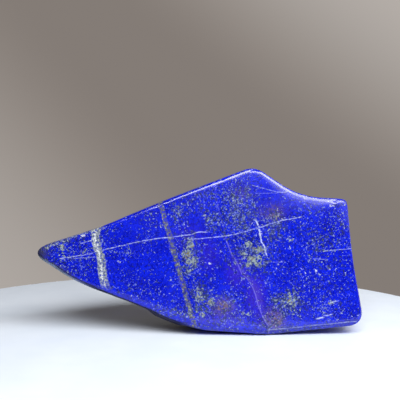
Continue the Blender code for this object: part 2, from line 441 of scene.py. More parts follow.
# Pale flecks in three sizes: cell width in millimetres, reach as a share of it, and how many.
# Then how the sizes differ, how soft their rims are, how far apart the three patterns lie, how
# much they cover, and how much of them is in the relief.
FLECKS = ((0.5, 0.5, 0.4), (0.9, 0.4, 0.16), (2.0, 0.22, 0.06))
FLECK_SIZES = (0.6, 0.5)
FLECK_SOFT = 0.1
FLECK_SHIFT = (7.0, 31.0)
FLECK_COVER = (0.5, 0.3)
FLECK_RELIEF = 0.6
# The golden grains: cell width, reach and how many
SPARKS = {"cluster": (0.8, 0.5, 0.55), "tan": (0.9, 0.5, 0.5)}
# How strongly a cluster's middle counts, and how strongly the grains of clusters and spots do
CLUSTERS = {"core": 1.12, "grain": 4.2, "white_grain": 3.5}
# The calcite band: half width, how much wider its ends are, its soft rim, how far its threads
# wander, each thread's half width and soft rim, and how the other one goes the other way
CALCITE = {
    "half": 1.3,
    "flare": 0.6,
    "soft": 0.7,
    "wander": 2.6,
    "thread": (0.2, 0.3),
    "other_thread": (0.1, 0.3),
    "other_way": (0.7, 0.5),
}
# Half width and soft rim of the tan band, and of the seam with how much it shows low and high
TAN_BAND = (0.72, 0.55)
SEAM = {"width": (0.12, 0.3), "shows": (0.45, 0.15)}
# The lowest and highest place of the seam's haze, and how far it fades
HAZE_HEIGHTS = (12.0, 27.0, 3.0)

# Roughness of the stone, and what smears, grains and worn places add to it
POLISH = 0.2
ROUGHER = {"smear": 0.07, "grainy": 0.16, "worn": 0.2, "matte": 0.25, "dark": 0.5}
# How grainy the veins and the dull patches are
GRAINY = {"calcite": 0.9, "tan": 0.7, "cluster": 0.6, "dull": 0.35}
# The relief of single grains, with its greatest depth in metres
BUMPS = {
    "pits": 0.9,
    "dull": 0.5,
    "dimples": 0.1,
    "seam": 0.8,
    "strength": 0.35,
    "distance": 0.00004,
}
GOLD_METAL = 0.85
STONE_IOR = 1.5
# The wax that the stone is polished with: how much of it, and how rough it is
COAT = 0.55
COAT_ROUGHNESS = 0.05

# The thin white veins: their course, half width and strength
THREADS = (
    ("long_left", "bent", 0.04, 0.85),
    ("long_right", "bent", 0.04, 0.85),
    ("bright_stub", "ragged", 0.15, 1.0),
)
# How soft they are beside and beyond their ends, and how whole and how broken they are
THREAD_SOFT = 0.26
THREAD_END = 0.8
STROKE_END = 0.4
THREAD_WHOLE = (0.8, 0.2)
# Short strokes on the broad face: from X and Z to X and Z, half width and strength
STROKES = (
    (-47.8, 37.6, -43, 38.9, 0.05, 0.8),
    (-56.3, 31.4, -43, 33.6, 0.08, 0.8),
    (-51.7, 31.4, -42, 32.1, 0.03, 0.45),
    (24.8, 30.2, 33.2, 30.1, 0.02, 0.4),
    (45.2, 31.5, 51.2, 31, 0.04, 0.4),
    (49.4, 34.5, 60.6, 35.6, 0.03, 0.6),
    (20.9, 60.8, 30.6, 58.2, 0.02, 0.55),
    (30.6, 58.2, 34.4, 58.2, 0.02, 0.6),
    (22.2, 57.6, 30.6, 57.7, 0, 0.35),
    (46.8, 7.2, 49.4, 7.7, 0.1, 0.9),
    (49.6, 8.4, 53.2, 9.2, 0.06, 0.8),
    (51.4, 13.6, 55.6, 14.8, 0.06, 0.6),
    (27, 2.5, 44, 4.3, 0.1, 0.7),
    (43, 4.2, 63, 6.1, 0.1, 0.75),
)

# The table top, its radius in millimetres and its middle in metres
TABLE_RADIUS = 136.7
TABLE_SIDES = 256
TABLE_MIDDLE = (-0.0116, 0.0019, 0.0)
TABLE_COLOURS = ((218, 226, 237), (225, 232, 242))
TABLE_ROUGHNESS = 0.55

# Brightness of the room: the wall behind the stone and its lighter corners, what is
# overhead, and what is behind the viewer
WALL = {
    "plain": 0.205,
    "lower_left": 0.19,
    "upper_right": 0.24,
    "overhead": 0.05,
    "behind_viewer": 0.015,
}
# How steeply the two lighter corners slant, and the wall's colour where it is dim and bright
LOWER_LEFT_SLANT = -0.9
UPPER_RIGHT_SLANT = 0.75
WALL_TINTS = ((1.13, 0.98, 0.88, 1.0), (1.08, 0.99, 0.92, 1.0))

# The lamps: place, what they aim at and width and height, in metres, then power and colour
LAMPS = {
    "window": ((0.12, -0.32, 0.38), (0.0, 0.0, 0.02), (0.62, 0.2), 4.7, (0.98, 0.99, 1.0)),
    "low_glow": ((0.17, -0.36, 0.25), (0.03, 0.0, 0.045), (0.5, 0.12), 0.3, (0.98, 0.99, 1.0)),
    "skylight": ((0.19, 0.56, 0.42), (0.0, 0.0, 0.04), (0.5, 0.16), 0.15, (0.97, 0.99, 1.0)),
    "side_glow": ((0.34, -0.13, 0.19), (0.06, 0.0, 0.05), (0.14, 0.12), 0.25, (0.97, 0.99, 1.0)),
}


def corner_points():
    """The dense rounded outline, and for each of its points a place between two corners."""
    table = np.array(list(CORNERS.values()))
    corners = table[:, :2]
    before = np.roll(corners, 1, axis=0) - corners
    after = np.roll(corners, -1, axis=0) - corners
    far_before = np.linalg.norm(before, axis=1)
    far_after = np.linalg.norm(after, axis=1)
    cuts = np.minimum(table[:, 2], LONGEST_ROUNDING * np.minimum(far_before, far_after))
    start = corners + before * (cuts / far_before)[:, None]
    end = corners + after * (cuts / far_after)[:, None]
    t = np.linspace(0.0, 1.0, CORNER_POINTS)[:, None]
    points, place = [], []
    for i in range(len(corners)):
        arc = (1 - t) ** 2 * start[i] + 2 * t * (1 - t) * corners[i] + t**2 * end[i]
        points.append(arc)
        place.append(i + CORNER_SHARE * (t[:, 0] - 0.5))
    return np.concatenate(points), np.concatenate(place)


def evenly(points, place, count):
    """The closed outline at count points, closer together where it turns."""
    closed = np.vstack((points, points[:1]))
    step = np.diff(closed, axis=0)
    length = np.linalg.norm(step, axis=1)
    heading = np.unwrap(np.arctan2(step[:, 1], step[:, 0]))
    turn = np.abs(np.diff(np.append(heading, heading[0] - 2 * np.pi)))
    weight = length + TURN_WEIGHT * 0.5 * (turn + np.roll(turn, 1))
    reach = np.concatenate(([0.0], np.cumsum(weight)))
    wanted = np.linspace(0.0, reach[-1], count, endpoint=False)
    places = np.append(place, len(CORNERS) + place[0])
    x = np.interp(wanted, reach, closed[:, 0])
    z = np.interp(wanted, reach, closed[:, 1])
    return np.column_stack((x, z)), np.interp(wanted, reach, places)


def smoothed(points, width):
    """The closed outline with each point averaged over its neighbours within about width."""
    step = np.linalg.norm(np.roll(points, -1, axis=0) - points, axis=1).mean()
    reach = max(1, int(3 * width / step))
    shifts = np.arange(-reach, reach + 1)
    weights = np.exp(-0.5 * (shifts * step / width) ** 2)
    moved = np.array([np.roll(points, s, axis=0) for s in shifts])
    return np.tensordot(weights / weights.sum(), moved, axes=1)


def outline(count):
    """The outline at count points, and at each point the six edge sizes."""
    dense, place = corner_points()
    dense, place = evenly(dense, place, DENSE_OUTLINE)
    points, place = evenly(smoothed(dense, SMOOTHING), place, count)
    sizes = np.array(list(CORNERS.values()))[:, 3:]
    low = np.floor(place).astype(int)
    share = place - low
    share = (share * share * (3 - 2 * share))[:, None]
    low = low % len(sizes)
    return points, sizes[low] * (1 - share) + sizes[(low + 1) % len(sizes)] * share


def heights_above_heart(points):
    """How far each tangent line of the outline passes from the heart."""
    along = np.roll(points, -1, axis=0) - np.roll(points, 1, axis=0)
    along /= np.linalg.norm(along, axis=1)[:, None]
    arm = points - HEART
    return np.abs(arm[:, 0] * along[:, 1] - arm[:, 1] * along[:, 0])


def front_depth(points):
    """How deep the front face lies at these places."""
    away = (points - HEART) / FACE_REACH
    bulge = FRONT_BULGE * np.minimum(1.0, 0.5 * (away**2).sum(axis=-1))
    return -0.5 * THICKNESS + FRONT_LEAN * (points[..., 1] - HEART[1]) + bulge


def back_depth(points):
    """How deep the back lies: the nearest of its ground planes, blended where they meet."""
    x, z = points[..., 0] - HEART[0], points[..., 1] - HEART[1]
    planes = [depth + along_x * x + along_z * z for depth, along_x, along_z in BACK_PLANES]
    return -PLANE_BLEND * np.log(sum(np.exp(-p / PLANE_BLEND) for p in planes))


def rounded(before, corner, after, steps):
    """Points on the smooth curve that leaves one side of a corner and joins the other."""
    t = np.linspace(0.0, 1.0, steps + 1)[:, None, None]
    return (1 - t) ** 2 * before + 2 * t * (1 - t) * corner + t**2 * after


def edge_rings():
    """Closed rings of points from the rim of the front face round the edge to the back's rim."""
    points, sizes = outline(OUTLINE_POINTS)
    height = heights_above_heart(points)
    arm = points - HEART

    def at(share, depth_of):
        """Ring points at a share of the way out from the heart, on a face."""
        flat = HEART + share[:, None] * arm
        return np.column_stack((flat[:, 0], depth_of(flat), flat[:, 1]))

    def toward(start, end, distance):
        """The point that lies distance from start on the way to end, or half way at most."""
        way = end - start
        share = np.minimum(distance / np.linalg.norm(way, axis=1), LONGEST_EDGE)
        return start + way * share[:, None]

    front_in, front_round, back_in, back_round, bulge, smaller = sizes.T
    back_edge = 1 - smaller / height
    front_corner = at(np.ones(OUTLINE_POINTS), front_depth)
    back_corner = at(back_edge, back_depth)
    middle = at(1 + bulge / height, front_depth)
    middle[:, 1] = 0.5 * (front_corner[:, 1] + back_corner[:, 1])
    half_front = front_corner + SIDE_START * (middle - front_corner)
    half_back = back_corner + SIDE_START * (middle - back_corner)
    front_rim = at(1 - front_in / height, front_depth)
    back_rim = at(back_edge - back_in / height, back_depth)
    front_side = toward(front_corner, middle, front_round)
    back_side = toward(back_corner, middle, back_round)
    front = rounded(front_rim, front_corner, front_side, EDGE_STEPS)
    side = rounded(half_front, middle, half_back, SIDE_STEPS)
    back = rounded(back_side, back_corner, back_rim, EDGE_STEPS)
    return [*front, *side, *back]


def inside(points, polygon):
    """Which of the points lie inside the polygon."""
    following = np.roll(polygon, -1, axis=0)
    found = np.zeros(len(points), bool)
    for a, b in zip(polygon, following):
        if a[1] == b[1]:
            continue
        crosses = (a[1] > points[:, 1]) != (b[1] > points[:, 1])
        at = a[0] + (points[:, 1] - a[1]) * (b[0] - a[0]) / (b[1] - a[1])
        found ^= crosses & (points[:, 0] < at)
    return found


def face_fill(rim, spacing):
    """Even triangles that fill a rim: their points after the rim's own, and their corners."""
    low, high = rim.min(axis=0), rim.max(axis=0)
    rows = np.arange(low[1], high[1], spacing * math.sqrt(0.75))
    columns = np.arange(low[0], high[0] + spacing, spacing)
    grid = [np.column_stack((columns - 0.5 * spacing * (i % 2), np.full(len(columns), z)))
            for i, z in enumerate(rows)]
    grid = np.concatenate(grid)
    grid = grid[inside(grid, rim)]
    middle = rim.mean(axis=0)
    gap = np.full(len(grid), np.inf)
    for point in rim:
        gap = np.minimum(gap, ((grid - point) ** 2).sum(axis=1))
    grid = grid[gap > (RIM_GAP * spacing) ** 2]
    places = np.concatenate((rim, grid)) - middle
    border = [(i, (i + 1) % len(rim)) for i in range(len(rim))]
    made, _, corners, origin, _, _ = delaunay_2d_cdt(
        [Vector(p) for p in places], border, [], 1, 1e-6
    )
    index = [o[0] for o in origin]
    return grid, [[index[k] for k in face] for face in corners]


def stone_points():
    """The stone's points, and its faces as lists of point numbers."""
    rings = edge_rings()
    count = OUTLINE_POINTS
    faces = []
    for k in range(len(rings) - 1):
        near, far = k * count, (k + 1) * count
        for i in range(count):
            j = (i + 1) % count
            faces.append([near + i, far + i, far + j, near + j])
    points = list(rings)
    total = len(rings) * count
    fills = ((0, FRONT_GRID, front_depth, 1), (-1, BACK_GRID, back_depth, -1))
    for ring, spacing, depth_of, way in fills:
        first = ring % len(rings) * count
        grid, corners = face_fill(rings[ring][:, [0, 2]], spacing)
        points.append(np.column_stack((grid[:, 0], depth_of(grid), grid[:, 1])))
        for face in corners:
            numbers = [first + k if k < count else total + k - count for k in face]
            faces.append(numbers[::way])
        total += len(grid)
    return np.concatenate(points), faces


def cut_at_table(mesh):
    """Grinds the stone's flat spot: all that lies below the table's level is cut off."""
    solid = bmesh.new()
    solid.from_mesh(mesh)
    everything = solid.verts[:] + solid.edges[:] + solid.faces[:]
    bmesh.ops.bisect_plane(
        solid, geom=everything, plane_co=(0, 0, 0), plane_no=(0, 0, -1), clear_outer=True
    )
    rim = [edge for edge in solid.edges if edge.is_boundary]
    bmesh.ops.contextual_create(solid, geom=rim)
    bmesh.ops.recalc_face_normals(solid, faces=solid.faces)
    solid.to_mesh(mesh)
    solid.free()


def read_points(mesh):
    """The mesh's points and their normals, as arrays."""
    points = np.zeros(len(mesh.vertices) * 3)
    normals = np.zeros(len(mesh.vertices) * 3)
    mesh.vertices.foreach_get("co", points)
    mesh.vertices.foreach_get("normal", normals)
    return points.reshape(-1, 3), normals.reshape(-1, 3)


def write_points(mesh, points):
    mesh.vertices.foreach_set("co", points.ravel())
    mesh.update()


def smooth_step(value, low, high):
    """0 below low, 1 above high, and a smooth rise between them."""
    share = np.clip((value - low) / (high - low), 0, 1)
    return share * share * (3 - 2 * share)


def waves(points, length, shift):
    """Smooth noise from 0 to 1 whose bumps are about this long."""
    found = [noise.noise(Vector(p / length) + Vector(shift)) for p in points]
    return np.clip(0.5 + WAVE_SWING * np.array(found), 0, 1)


def on_face(x, z):
    """The place on the leaning face that the camera sees at this place on the upright sheet."""
    eye_x, eye_y, eye_z = np.array(CAMERA_PLACE) / MM
    away = FACE_FOOT - eye_y
    share = (away + FRONT_LEAN * eye_z) / (away - FRONT_LEAN * (z - eye_z))
    return eye_x + x * share, eye_z + (z - eye_z) * share


def face_level(z):
    """Where the broad face lies along Y at this height."""
    return FACE_FOOT + FRONT_LEAN * z


def face_route(name):
    """A vein's route on the leaning face: X at heights if it is steep, or heights at X."""
    steep, _, route = VEINS[name]
    if steep:
        return [on_face(x, z)[::-1] for z, x in route]
    return [on_face(x, z) for x, z in route]


def vein_offset(name, points):
    """How far each point lies from a steep vein's sheet, along X."""
    _, drift, _ = VEINS[name]
    depth = points[:, 1] - face_level(points[:, 2])
    heights, places = np.array(face_route(name)).T
    middle = np.interp(points[:, 2], heights, places) + drift * depth
    return points[:, 0] - middle


def relief(points, normals):
    """How deep each point is sunk by the polish, the veins and small chips. Never outwards."""
    depth = np.zeros(len(points))
    for length, shift, wave_depth in POLISH_WAVES:
        depth += wave_depth * waves(points, length, shift)
    for name, half, sunk in SUNK_VEINS:
        away = np.abs(vein_offset(name, points))
        depth += sunk * (1 - smooth_step(away, SUNK_LEVEL * half, half))
    facing = -normals[:, 1]
    edge = smooth_step(facing, *EDGE_STARTS) * (1 - smooth_step(facing, *EDGE_ENDS))
    length, shift, limits, chip_depth = CHIPS
    chips = smooth_step(waves(points, length, shift), *limits)
    return depth + chip_depth * edge * chips


def grind_bevel(points):
    """Moves what stands proud of the ground bevel's plane back onto that plane."""
    tilt, (start, end, fade) = BEVEL["tilt"], BEVEL["span"]
    normal = np.array([BEVEL["rise"] * math.cos(tilt), -math.cos(tilt), -math.sin(tilt)])
    normal /= np.linalg.norm(normal)
    proud = (points - np.array(BEVEL["place"])) @ normal
    here = smooth_step(points[:, 0], start, start + fade)
    here *= 1 - smooth_step(points[:, 0], end - fade, end)
    cut = np.maximum(proud - BEVEL["keep"] * (1 - here), 0)
    return points - cut[:, None] * normal


class Nodes:
    """Short ways to make shader nodes and to join them."""

    def __init__(self, tree):
        self.tree = tree

    def make(self, kind, inputs, **settings):
        """A node with these settings, and its inputs set to values or linked to outputs."""
        node = self.tree.nodes.new("ShaderNode" + kind)
        for name, value in settings.items():
            setattr(node, name, value)
        for key, value in inputs.items():
            if isinstance(value, bpy.types.NodeSocket):
                self.tree.links.new(value, node.inputs[key])
            else:
                node.inputs[key].default_value = value
        return node

    def math(self, operation, *values):
        return self.make("Math", dict(enumerate(values)), operation=operation).outputs[0]

    def chain(self, operation, first, *others):
        for value in others:
            first = self.math(operation, first, value)
        return first

    def plus(self, *values):
        return self.chain("ADD", *values)

    def times(self, *values):
        return self.chain("MULTIPLY", *values)

    def most(self, *values):
        return self.chain("MAXIMUM", *values)

    def scaled(self, value, factor, added):
        """The value times the factor, and something added."""
        return self.math("MULTIPLY_ADD", value, factor, added)

    def less(self, first, second):
        return self.math("SUBTRACT", first, second)

    def step(self, value, low, high):
        """0 at low, 1 at high, and a smooth change between them."""
        inputs = {"Value": value, "From Min": low, "From Max": high}
        return self.make("MapRange", inputs, interpolation_type="SMOOTHSTEP").outputs[0]

    def rise(self, name, value):
        """The smooth change that STEPS has under this name."""
        return self.step(value, *STEPS[name])

    def between(self, value, low, high, fade):
        """1 from low to high, and 0 beyond them."""
        rise = self.step(value, low - fade, low + fade)
        return self.times(rise, self.step(value, high + fade, high - fade))

    def split(self, vector):
        return self.make("SeparateXYZ", {0: vector}).outputs

    def blend(self, share, first, second):
        """The first colour, turning into the second where share is 1."""
        return self.make("Mix", {0: share, 6: first, 7: second}, data_type="RGBA").outputs[2]

    def cover(self, name, share, colour, tint):
        """The colour, covered by the tint where share is 1, as much as COVER says."""
        return self.blend(self.times(share, COVER[name]), colour, tint)

    def moved(self, place, shift):
        return self.make("VectorMath", {0: place, 1: shift}).outputs[0]

    def place(self):
        """The place in the piece's own space, in millimetres."""
        metres = self.make("TexCoord", {}).outputs["Object"]
        scale = {0: metres, "Scale": 1 / MM}
        return self.make("VectorMath", scale, operation="SCALE").outputs[0]

    def noise(self, place, length, detail=2.0, rough=0.55):
        """Noise whose blotches are about this many millimetres long: its value and colour."""
        inputs = {"Vector": place, "Scale": 1 / length, "Detail": detail, "Roughness": rough}
        return self.make("TexNoise", inputs).outputs

    def pattern(self, name, place):
        """The value of the noise that NOISES has under this name."""
        shift, *settings = NOISES[name]
        return self.noise(self.moved(place, shift), *settings)[0]

    def spots(self, name, place):
        """A noise after its smooth change, where both have the same name."""
        return self.rise(name, self.pattern(name, place))

    def warped(self, name, place):
        """The place pushed about by noise, as WARPS says: by about half of reach each way."""
        for length, reach in WARPS[name]:
            push = self.noise(place, length)[1]
            push = self.make("VectorMath", {0: push, 1: (0.5, 0.5, 0.5)}, operation="SUBTRACT")
            inputs = {0: push.outputs[0], 1: (reach, reach, reach), 2: place}
            place = self.make("VectorMath", inputs, operation="MULTIPLY_ADD").outputs[0]
        return place

    def cells(self, place, length):
        """Cells about this many millimetres wide: the distance to the nearest cell's middle
        as a share of the width, and three numbers that are random for each cell."""
        cell = self.make("TexVoronoi", {"Vector": place, "Scale": 1 / length})
        return cell.outputs["Distance"], self.split(cell.outputs["Color"])

    def route(self, value, table):
        """A vein's other coordinate at a value of its first one."""
        firsts = [pair[0] for pair in table]
        seconds = [pair[1] for pair in table]
        low, high = min(seconds) - 1, max(seconds) + 1
        inputs = {"Value": value, "From Min": firsts[0], "From Max": firsts[-1]}
        share = self.make("MapRange", inputs).outputs[0]
        curve = self.make("FloatCurve", {"Value": share})
        points = curve.mapping.curves[0].points
        places = [(a - firsts[0]) / (firsts[-1] - firsts[0]) for a in firsts]
        heights = [(b - low) / (high - low) for b in seconds]
        points[0].location = (places[0], heights[0])
        points[1].location = (places[-1], heights[-1])
        for a, b in zip(places[1:-1], heights[1:-1]):
            points.new(a, b)
        curve.mapping.update()
        return self.scaled(curve.outputs[0], high - low, low)

    def depth(self, place):
        """How far a point lies behind the broad face."""
        _, y, z = self.split(place)
        return self.less(self.scaled(z, -FRONT_LEAN, y), FACE_FOOT)

    def vein(self, place, name):
        """How far a point lies to the right of a steep vein or above a level one, and how far
        up or to the right along the vein."""
        steep, drift, _ = VEINS[name]
        x, _, z = self.split(place)
        across, along = (x, z) if steep else (z, x)
        middle = self.route(along, face_route(name))
        middle = self.scaled(self.depth(place), drift, middle)
        return self.less(across, middle), along

    def strip(self, distance, half, soft):
        """1 within half of a vein's middle, and 0 beyond that plus soft."""
        away = self.math("ABSOLUTE", distance)
        return self.step(self.less(away, half), soft, 0.0)


def base_colour(n, place, zones):
    """The blue itself, cloudy and grained, with its violet and pinkish places."""
    colour = n.blend(n.spots("clouds", place), BLUES["mid"], BLUES["bright"])
    deep = n.times(n.spots("deep", place), n.scaled(zones["pure"], DENSITY["deep_in_pure"], COVER["deep"]))
    colour = n.blend(deep, colour, BLUES["deep"])
    colour = n.cover("violet", zones["violet"], colour, BLUES["violet"])
    mottle = n.scaled(n.spots("mottle", place), *MOTTLED)
    for name in ("pink", "rust"):
        colour = n.blend(n.times(zones[name], mottle), colour, BLUES[name])
    return colour


def fleck_layer(n, place, length, reach, density):
    """Grains strewn at random: where they are, and a number that is random for each."""
    distance, (first, second, third) = n.cells(place, length)
    present = n.math("GREATER_THAN", density, first)
    size = n.scaled(second, FLECK_SIZES[0] * reach, FLECK_SIZES[1] * reach)
    return n.times(present, n.step(n.less(distance, size), FLECK_SOFT, -FLECK_SOFT)), third


def sparks(n, name, place, density):
    """Where the golden grains of a vein or a cluster are."""
    length, reach, share = SPARKS[name]
    return fleck_layer(n, place, length, reach, n.times(density, share))[0]


def add_flecks(n, place, colour, zones):
    """Dull patches and pale flecks over the blue, and how much they cover."""
    patches = n.less(n.pattern("patches", place), 0.5)
    density = n.scaled(patches, DENSITY["patches"], zones["speckle"])
    density = n.plus(density, n.scaled(zones["pure"], DENSITY["pure"], DENSITY["everywhere"]))
    ragged = n.warped("flecks", place)
    tone = n.pattern("tone", place)
    murky = n.scaled(zones["murk"], DENSITY["dull_in_murk"], n.times(density, DENSITY["dull"]))
    dull = n.rise("dull", n.plus(n.pattern("dull", ragged), murky))
    tint = n.blend(n.rise("olive", tone), GRAINS["slate"], GRAINS["olive"])
    colour = n.cover("dull", dull, colour, tint)
    pale = n.rise("pale", n.scaled(density, DENSITY["pale"], n.pattern("pale", ragged)))
    tint = n.blend(n.rise("cream", tone), GRAINS["sky"], GRAINS["cream"])
    colour = n.cover("pale", pale, colour, tint)
    cover = dull
    for length, reach, share in FLECKS:
        here = n.moved(ragged, (FLECK_SHIFT[0] * length, 0.0, FLECK_SHIFT[1] * length))
        mask, random = fleck_layer(n, here, length, reach, n.times(density, share))
        tint = n.blend(n.times(random, random), GRAINS["sky"], GRAINS["cream"])
        colour = n.blend(n.times(mask, n.scaled(random, *FLECK_COVER)), colour, tint)
        cover = n.most(cover, n.times(mask, FLECK_RELIEF))
    return colour, cover


def add_clusters(n, place, colour, zones):
    """The cream clusters, their golden grains and the white spots."""
    ragged = n.warped("clusters", place)
    grain = n.less(n.pattern("cluster", ragged), 0.5)
    core = n.times(zones["cream"], CLUSTERS["core"])
    body = n.rise("cluster", n.scaled(grain, CLUSTERS["grain"], core))
    tint = n.blend(n.spots("cluster_tone", ragged), GRAINS["moss"], GRAINS["cream"])
    colour = n.cover("cluster", body, colour, tint)
    gold = n.times(sparks(n, "cluster", ragged, zones["cream"]), body)
    colour = n.cover("cluster_gold", gold, colour, GRAINS["gold"])
    white = n.rise("white", n.scaled(grain, CLUSTERS["white_grain"], zones["white"]))
    colour = n.cover("white", white, colour, GRAINS["white"])
    return colour, n.most(body, white), gold


def add_calcite(n, place, colour):
    """The white band near the pointed end: grey grains with ragged white threads."""
    distance, height = n.vein(n.warped("calcite", place), "calcite_band")
    flare = n.plus(n.rise("calcite_top", height), n.rise("calcite_foot", height))
    half = n.scaled(flare, CALCITE["flare"], CALCITE["half"])
    band = n.strip(distance, half, CALCITE["soft"])
    band = n.times(band, n.rise("calcite_end", height))
    grain = n.pattern("calcite", place)
    tint = n.blend(n.rise("bone", grain), GRAINS["moss"], GRAINS["bone"])
    colour = n.cover("calcite", n.times(band, n.rise("calcite", grain)), colour, tint)
    wander = n.times(n.less(n.pattern("wander", place), 0.5), CALCITE["wander"])
    thread = n.strip(n.less(distance, wander), *CALCITE["thread"])
    other = n.plus(distance, n.scaled(wander, *CALCITE["other_way"]))
    other = n.times(n.strip(other, *CALCITE["other_thread"]), COVER["other_thread"])
    white = n.times(n.most(thread, other), n.rise("calcite_thread", grain), band)
    return n.blend(white, colour, GRAINS["white"]), band


def add_tan_band(n, place, colour):
    """The dashed band of pyrite and tan grains between the left and the middle."""
    distance, _ = n.vein(n.warped("tan", place), "tan_band")
    band = n.strip(distance, *TAN_BAND)
    grain = n.pattern("tan", place)
    solid = n.times(band, n.rise("tan", grain))
    tint = n.blend(n.rise("tan_tone", grain), GRAINS["tan"], GRAINS["cream"])
    colour = n.cover("tan", solid, colour, tint)
    gold = n.times(sparks(n, "tan", place, band), solid, COVER["tan_gold"])
    return n.blend(gold, colour, GRAINS["gold"]), band, gold


def add_threads(n, place, colour):
    """The thin white lines that cross the stone."""
    bent = n.warped("threads", place)
    places = {"bent": bent, "ragged": n.warped("ragged_threads", bent)}
    whole = n.scaled(n.spots("broken", place), *THREAD_WHOLE)
    cover = 0.0
    for name, course, half, strength in THREADS:
        distance, along = n.vein(places[course], name)
        _, _, route = VEINS[name]
        length = n.between(along, route[0][0], route[-1][0], THREAD_END)
        line = n.times(n.strip(distance, half, THREAD_SOFT), length)
        cover = n.most(cover, n.times(line, whole, strength))
    for x0, z0, x1, z1, half, strength in STROKES:
        line = stroke(n, bent, on_face(x0, z0), on_face(x1, z1), half)
        cover = n.most(cover, n.times(line, whole, strength))
    return n.blend(cover, colour, GRAINS["thread"]), cover


def stroke(n, place, start, end, half):
    """A short straight line on the broad face, from one point to another."""
    x, _, z = n.split(place)
    x, z = n.less(x, start[0]), n.less(z, start[1])
    run, rise = end[0] - start[0], end[1] - start[1]
    length = math.hypot(run, rise)
    ahead = n.scaled(z, rise / length, n.times(x, run / length))
    across = n.scaled(z, run / length, n.times(x, -rise / length))
    line = n.times(n.strip(across, half, THREAD_SOFT), n.between(ahead, 0.0, length, STROKE_END))
    return n.times(line, n.rise("stroke_depth", n.depth(place)))


def add_seam(n, place, colour):
    """The lilac seam that crosses the broad face, with its violet haze on the right."""
    distance, height = n.vein(n.warped("seam", place), "violet_seam")
    haze = n.times(n.rise("haze_start", distance), n.rise("haze_end", distance))
    haze = n.times(haze, n.between(height, *HAZE_HEIGHTS))
    colour = n.cover("haze", haze, colour, BLUES["haze"])
    line = n.strip(distance, *SEAM["width"])
    line = n.times(line, n.scaled(n.rise("lower_seam", height), *SEAM["shows"]))
    return n.blend(line, colour, GRAINS["lilac"]), line


def lapis_roughness(n, place, zones, veined, dull, threads):
    """How rough the stone is: smears of the polish, harder grains and worn places."""
    rough = n.scaled(n.spots("smear", place), ROUGHER["smear"], POLISH)
    grainy = n.most(veined, n.times(dull, GRAINY["dull"]), threads)
    rough = n.plus(rough, n.times(grainy, ROUGHER["grainy"]))
    matte = n.times(zones["matte"], zones["matte"], ROUGHER["matte"])
    worn = n.times(zones["worn"], ROUGHER["worn"])
    return n.plus(rough, worn, matte, n.times(zones["dark"], ROUGHER["dark"]))


def lapis_bump(n, place, veined, dull, seam):
    """The relief of single grains, too fine for the mesh."""
    pits = n.less(n.pattern("pits", place), BUMPS["pits"])
    height = n.times(n.most(veined, n.times(dull, BUMPS["dull"])), pits)
    height = n.plus(height, n.times(n.pattern("dimples", place), BUMPS["dimples"]))
    height = n.less(height, n.times(seam, BUMPS["seam"]))
    inputs = {"Strength": BUMPS["strength"], "Distance": BUMPS["distance"], "Height": height}
    return n.make("Bump", inputs).outputs[0]


def new_material(name):
    """A new material, short ways to make its nodes, and its shader."""
    material = bpy.data.materials.new(name)
    material.use_nodes = True
    return material, Nodes(material.node_tree), material.node_tree.nodes["Principled BSDF"]


def lapis_material():
    """Polished lapis lazuli: blue ground, pale flecks, cream clusters and its veins."""
    material, n, shader = new_material("lapis_lazuli")
    place = n.place()
    zones = {}
    for name in ZONES:
        zones[name] = n.make("Attribute", {}, attribute_name=name).outputs["Fac"]
    colour = base_colour(n, place, zones)
    colour, seam = add_seam(n, place, colour)
    colour, dull = add_flecks(n, place, colour, zones)
    colour, cluster, cluster_gold = add_clusters(n, place, colour, zones)
    colour, tan, tan_gold = add_tan_band(n, place, colour)
    colour, calcite = add_calcite(n, place, colour)
    colour, threads = add_threads(n, place, colour)
    # The dark patch at the point with painted shade under the left half, then the pale painted reflection
    # of the table at the point's lower edge
    for name in ("dark", "painted_table_reflection"):
        colour = n.cover(name, zones[name], colour, GRAINS[name])
    veins = {"calcite": calcite, "tan": tan, "cluster": cluster}
    veined = n.most(*(n.times(veins[name], GRAINY[name]) for name in veins))
    shiny = n.times(n.plus(cluster_gold, tan_gold), GOLD_METAL)
    linked = {
        "Base Color": colour,
        "Roughness": lapis_roughness(n, place, zones, veined, dull, threads),
        "Metallic": n.math("MINIMUM", shiny, 1.0),
        "Normal": lapis_bump(n, place, veined, dull, seam),
        "Coat Weight": n.scaled(n.most(zones["dark"], zones["matte"]), -COAT, COAT),
    }
    for name, output in linked.items():
        n.tree.links.new(output, shader.inputs[name])
    shader.inputs["IOR"].default_value = STONE_IOR
    shader.inputs["Coat Roughness"].default_value = COAT_ROUGHNESS
    return material


def blob_strength(points, blobs):
    """How strongly blobs cover each point: rows of middle, reach and strength."""
    total = np.zeros(len(points))
    for *middle, reach_x, reach_y, reach_z, strength in blobs:
        away = (points - np.array(middle)) / np.array([reach_x, reach_y, reach_z])
        fade = BLOB_FADE[0] * (away**2).sum(axis=1) ** BLOB_FADE[1]
        total = np.maximum(total, strength * np.exp(-fade))
    return total


def zone_blobs(name, rng):
    """All blobs of one zone: those of the broad face, and some strewn through the rest."""
    share, least = ZONE_DEPTH
    blobs = []
    for x, z, reach_x, reach_z, strength in ZONES[name]:
        deep = max(least, share * max(reach_x, reach_z))
        x, z = on_face(x, z)
        blobs.append((x, face_level(z), z, reach_x, deep, reach_z, strength))
    count, small, large = STREWN.get(name, (0, 0, 0))
    first, back = STREWN_DEPTHS
    for _ in range(count):
        x, inward, z = rng.uniform(*STREWN_PLACES)
        front = face_level(z) + first
        reach = rng.uniform(small, large) * rng.uniform(*STREWN_STRETCH, 3)
        middle = x, front + inward * (back - front), z
        blobs.append((*middle, *reach, rng.uniform(*STREWN_STRENGTH)))
    return blobs


